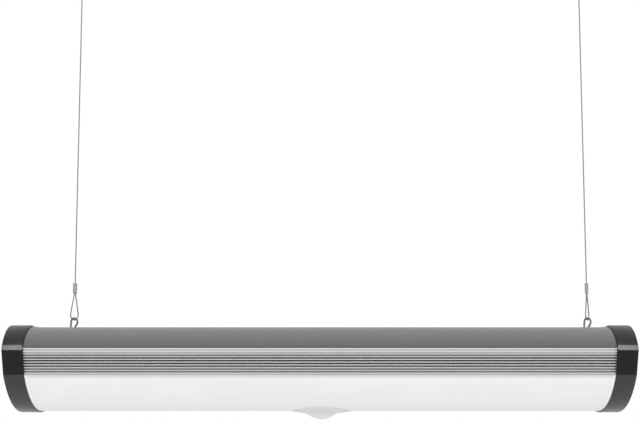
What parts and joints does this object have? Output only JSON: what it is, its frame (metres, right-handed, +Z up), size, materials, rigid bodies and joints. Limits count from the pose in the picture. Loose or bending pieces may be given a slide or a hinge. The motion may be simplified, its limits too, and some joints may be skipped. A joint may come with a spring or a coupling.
{
  "type": "hanging shop light",
  "caption": "Long LED shop light with a rounded grey top, ribbed silver sides, a curved milky lens, black end caps and a round motion sensor, hung on steel cables.",
  "frame": {"origin": "on the underside of the ceiling, straight above the middle of the light", "axes": "+X along the light to the end without the cord gland, -Y to the front as pictured, +Z up"},
  "size_m": [0.621, 0.16, 0.5201],
  "materials": {
    "hook_steel": "zinc-plated, satin",
    "cable_steel": "stranded galvanised wire",
    "clip_steel": "bent spring wire, bright",
    "ferrule": "pressed, matt",
    "cover": "satin grey paint",
    "hanging_rail": "mill finish",
    "side_rail": "satin anodised, ribbed",
    "gear_tray": "gloss white, reflective",
    "lens": "milky, translucent",
    "end_cap": "black, fine satin",
    "gasket": "matt",
    "screws": "zinc-plated",
    "gland": "black nylon",
    "driver_case": "folded sheet",
    "circuit_board": "solder mask",
    "terminal": "white moulding",
    "leads": "insulated wire",
    "led_board": "white solder mask",
    "leds": "phosphor",
    "sensor": "white moulding",
    "sensor_dome": "milky, thin",
    "detector_can": "bright can"
  },
  "bodies": {
    "ceiling": {"ceiling_hook_left": "hook_steel", "ceiling_hook_right": "hook_steel"},
    "upper_loops": {"upper_loop_left": "cable_steel", "upper_loop_right": "cable_steel", "upper_ferrule_left": "ferrule", "upper_ferrule_right": "ferrule"},
    "cable_left": {"cable_left": "cable_steel"},
    "cable_right": {"cable_right": "cable_steel"},
    "lower_loops": {"lower_loop_left": "cable_steel", "lower_loop_right": "cable_steel", "lower_ferrule_left": "ferrule", "lower_ferrule_right": "ferrule"},
    "light": {"hook_clip_left": "clip_steel", "hook_clip_right": "clip_steel", "top_cover": "cover", "hanging_rail": "hanging_rail", "side_rail_front": "side_rail", "side_rail_rear": "side_rail", "gear_tray": "gear_tray", "lens": "lens", "end_cap_left": "end_cap", "end_cap_right": "end_cap", "end_gasket_left": "gasket", "end_gasket_right": "gasket", "cap_screws_left": "screws", "cap_screws_right": "screws", "inlet_gland": "gland", "gland_nut": "gland", "driver_case": "driver_case", "driver_lid": "driver_case", "driver_board": "circuit_board", "driver_screws": "screws", "terminal_block": "terminal", "earth_screw": "screws", "mains_leads": "leads", "led_leads": "leads", "sensor_lead": "leads", "led_board_front": "led_board", "led_board_rear": "led_board", "leds_front": "leds", "leds_rear": "leds", "board_screws": "screws", "sensor_housing": "sensor", "sensor_dome": "sensor_dome", "sensor_nut": "sensor", "sensor_board": "circuit_board", "pyro_detector": "detector_can"}
  },
  "joints": [
    {"name": "swing", "type": "hinge", "parent": "ceiling", "child": "upper_loops", "pos_m": [0, 0, -0.021], "axis": [1, 0, 0], "range_deg": [-20, 20]},
    {"name": "sway", "type": "hinge", "parent": "upper_loops", "child": "cable_left", "pos_m": [-0.255, 0, -0.057], "axis": [0, 1, 0], "range_deg": [-15, 15]},
    {"name": "sway_right", "type": "hinge", "parent": "upper_loops", "child": "cable_right", "pos_m": [0.2775, 0, -0.057], "axis": [0, 1, 0], "range_deg": [-15, 15]},
    {"name": "sway_lower", "type": "hinge", "parent": "cable_left", "child": "lower_loops", "pos_m": [-0.255, 0, -0.364], "axis": [0, 1, 0], "range_deg": [-15, 15]},
    {"name": "tilt", "type": "hinge", "parent": "lower_loops", "child": "light", "pos_m": [0, 0, -0.4005], "axis": [1, 0, 0], "range_deg": [-20, 20]}
  ],
  "couplings": [
    {"joint": "sway_right", "follows": "sway", "ratio": 1},
    {"joint": "sway_lower", "follows": "sway", "ratio": -1}
  ]
}
